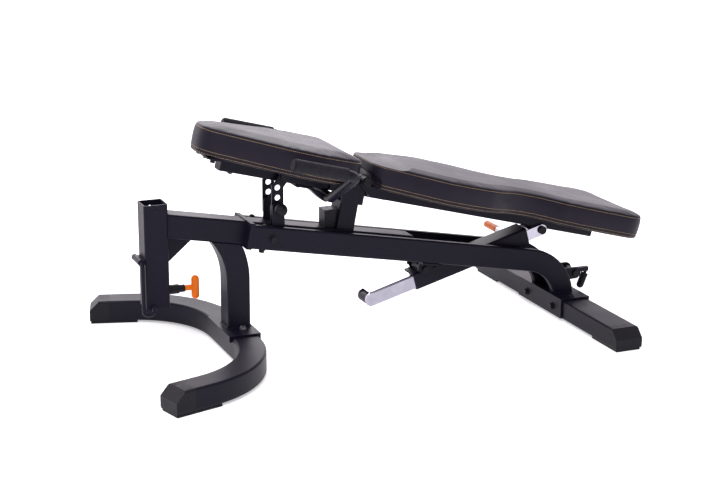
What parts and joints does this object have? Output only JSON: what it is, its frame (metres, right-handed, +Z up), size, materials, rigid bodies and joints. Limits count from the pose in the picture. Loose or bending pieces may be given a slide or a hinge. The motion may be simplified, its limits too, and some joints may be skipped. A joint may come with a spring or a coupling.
{
  "type": "adjustable weight bench",
  "caption": "Adjustable weight bench: seat and shaped back pad hinged on a sloping twin-rail frame, chrome telescopic strut, curved front foot, square receiver and orange pull pins.",
  "frame": {"origin": "on the floor, under the middle of the bench's length and width", "axes": "+X to the rear (the head end of the back pad), +Y to the far side, +Z up"},
  "size_m": [1.3999, 0.7928, 0.585],
  "materials": {
    "powder": "satin black powder coat",
    "plastic": "moulded black plastic",
    "zinc": "zinc plated steel",
    "chrome": "polished chrome plating",
    "orange": "semi-gloss moulded plastic",
    "leather": "black grained artificial leather over foam",
    "rubber": "soft foam rubber grip"
  },
  "bodies": {
    "frame": {"front_foot": "powder", "front_foot_caps": "plastic", "front_saddle": "powder", "front_saddle_bolts": "zinc", "front_leg": "powder", "receiver": "powder", "receiver_gusset": "powder", "receiver_pin_barrel": "plastic", "hook_sleeve": "powder", "spine": "powder", "spine_plug": "plastic", "front_end_plate": "powder", "rail_left": "powder", "rail_right": "powder", "rail_bolts": "plastic", "rear_saddle": "powder", "rear_saddle_bolts": "plastic", "rear_foot": "powder", "rear_foot_caps": "plastic", "lift_bracket": "powder", "lift_pin": "plastic", "seat_post": "powder", "pivot_bracket": "powder", "seat_stop": "plastic", "ladder_bracket": "powder", "seat_pin_barrel": "zinc", "strut_ears": "powder", "strut_pivot_bolt": "plastic", "hinge_axle": "zinc", "hinge_spacers": "plastic", "hinge_bolts": "plastic"},
    "receiver_pin": {"receiver_pin_handle": "orange", "receiver_pin_plunger": "zinc"},
    "hook": {"hook_rod": "powder"},
    "lifting_handle": {"lift_handle": "powder", "lift_grip": "rubber"},
    "seat_pin": {"seat_pin_plunger": "zinc", "seat_pin_knob": "plastic"},
    "seat": {"seat_tube": "powder", "seat_tube_cap": "plastic", "seat_hinge_ears": "powder", "seat_pad_plates": "powder", "seat_pad_bolts": "plastic", "handle_tube": "powder", "handle_grips": "rubber", "handle_strap": "powder", "ladder_bolt": "plastic", "seat_pad": "leather"},
    "ladder": {"ladder_plates": "powder"},
    "back": {"back_tube": "powder", "back_tube_cap": "plastic", "back_hinge_bracket": "powder", "back_pad_plates": "powder", "back_pad": "leather", "strut_lug": "powder"},
    "sleeve": {"strut_sleeve": "powder", "strut_pin_barrel": "zinc"},
    "strut_pin": {"strut_pin_knob": "orange"},
    "strut": {"strut_tube": "chrome", "strut_bolt_heads": "plastic"}
  },
  "joints": [
    {"name": "back_incline", "type": "hinge", "parent": "frame", "child": "back", "pos_m": [-0.0749, 0, 0.418], "axis": [0, -1, 0], "range_deg": [0, 90]},
    {"name": "seat_tilt", "type": "hinge", "parent": "frame", "child": "seat", "pos_m": [-0.0749, 0, 0.418], "axis": [0, 1, 0], "range_deg": [-13.76, 0]},
    {"name": "ladder_swing", "type": "hinge", "parent": "seat", "child": "ladder", "pos_m": [-0.2853, 0, 0.4448], "axis": [0, 1, 0], "range_deg": [0, 13.8]},
    {"name": "seat_pin_pull", "type": "slide", "parent": "frame", "child": "seat_pin", "axis": [0, -1, 0], "range_m": [0, 0.012], "stiffness_N_per_m": 500, "springref_m": -0.006},
    {"name": "strut_swing", "type": "hinge", "parent": "frame", "child": "sleeve", "pos_m": [0.1031, 0, 0.163], "axis": [0, -1, 0], "range_deg": [0, 76]},
    {"name": "strut_extend", "type": "slide", "parent": "sleeve", "child": "strut", "axis": [0.964, 0, 0.2659], "range_m": [0, 0.4273]},
    {"name": "strut_pin_pull", "type": "slide", "parent": "sleeve", "child": "strut_pin", "axis": [0, 1, 0], "range_m": [0, 0.012], "stiffness_N_per_m": 500, "springref_m": -0.006},
    {"name": "receiver_pin_pull", "type": "slide", "parent": "frame", "child": "receiver_pin", "axis": [1, 0, 0], "range_m": [0, 0.012], "stiffness_N_per_m": 600, "springref_m": -0.006},
    {"name": "hook_swing", "type": "hinge", "parent": "frame", "child": "hook", "pos_m": [-0.6519, 0, 0.26], "axis": [0, 1, 0], "range_deg": [-2, 100]},
    {"name": "lifting_handle_swing", "type": "hinge", "parent": "frame", "child": "lifting_handle", "pos_m": [0.5601, 0, 0.1], "axis": [0, -1, 0], "range_deg": [0, 100]}
  ],
  "couplings": [
    {"joint": "ladder_swing", "follows": "seat_tilt", "ratio": -1},
    {"joint": "strut_swing", "follows": "back_incline", "ratio": 0.84337},
    {"joint": "strut_extend", "follows": "back_incline", "m_per_rad": 0.2717}
  ]
}
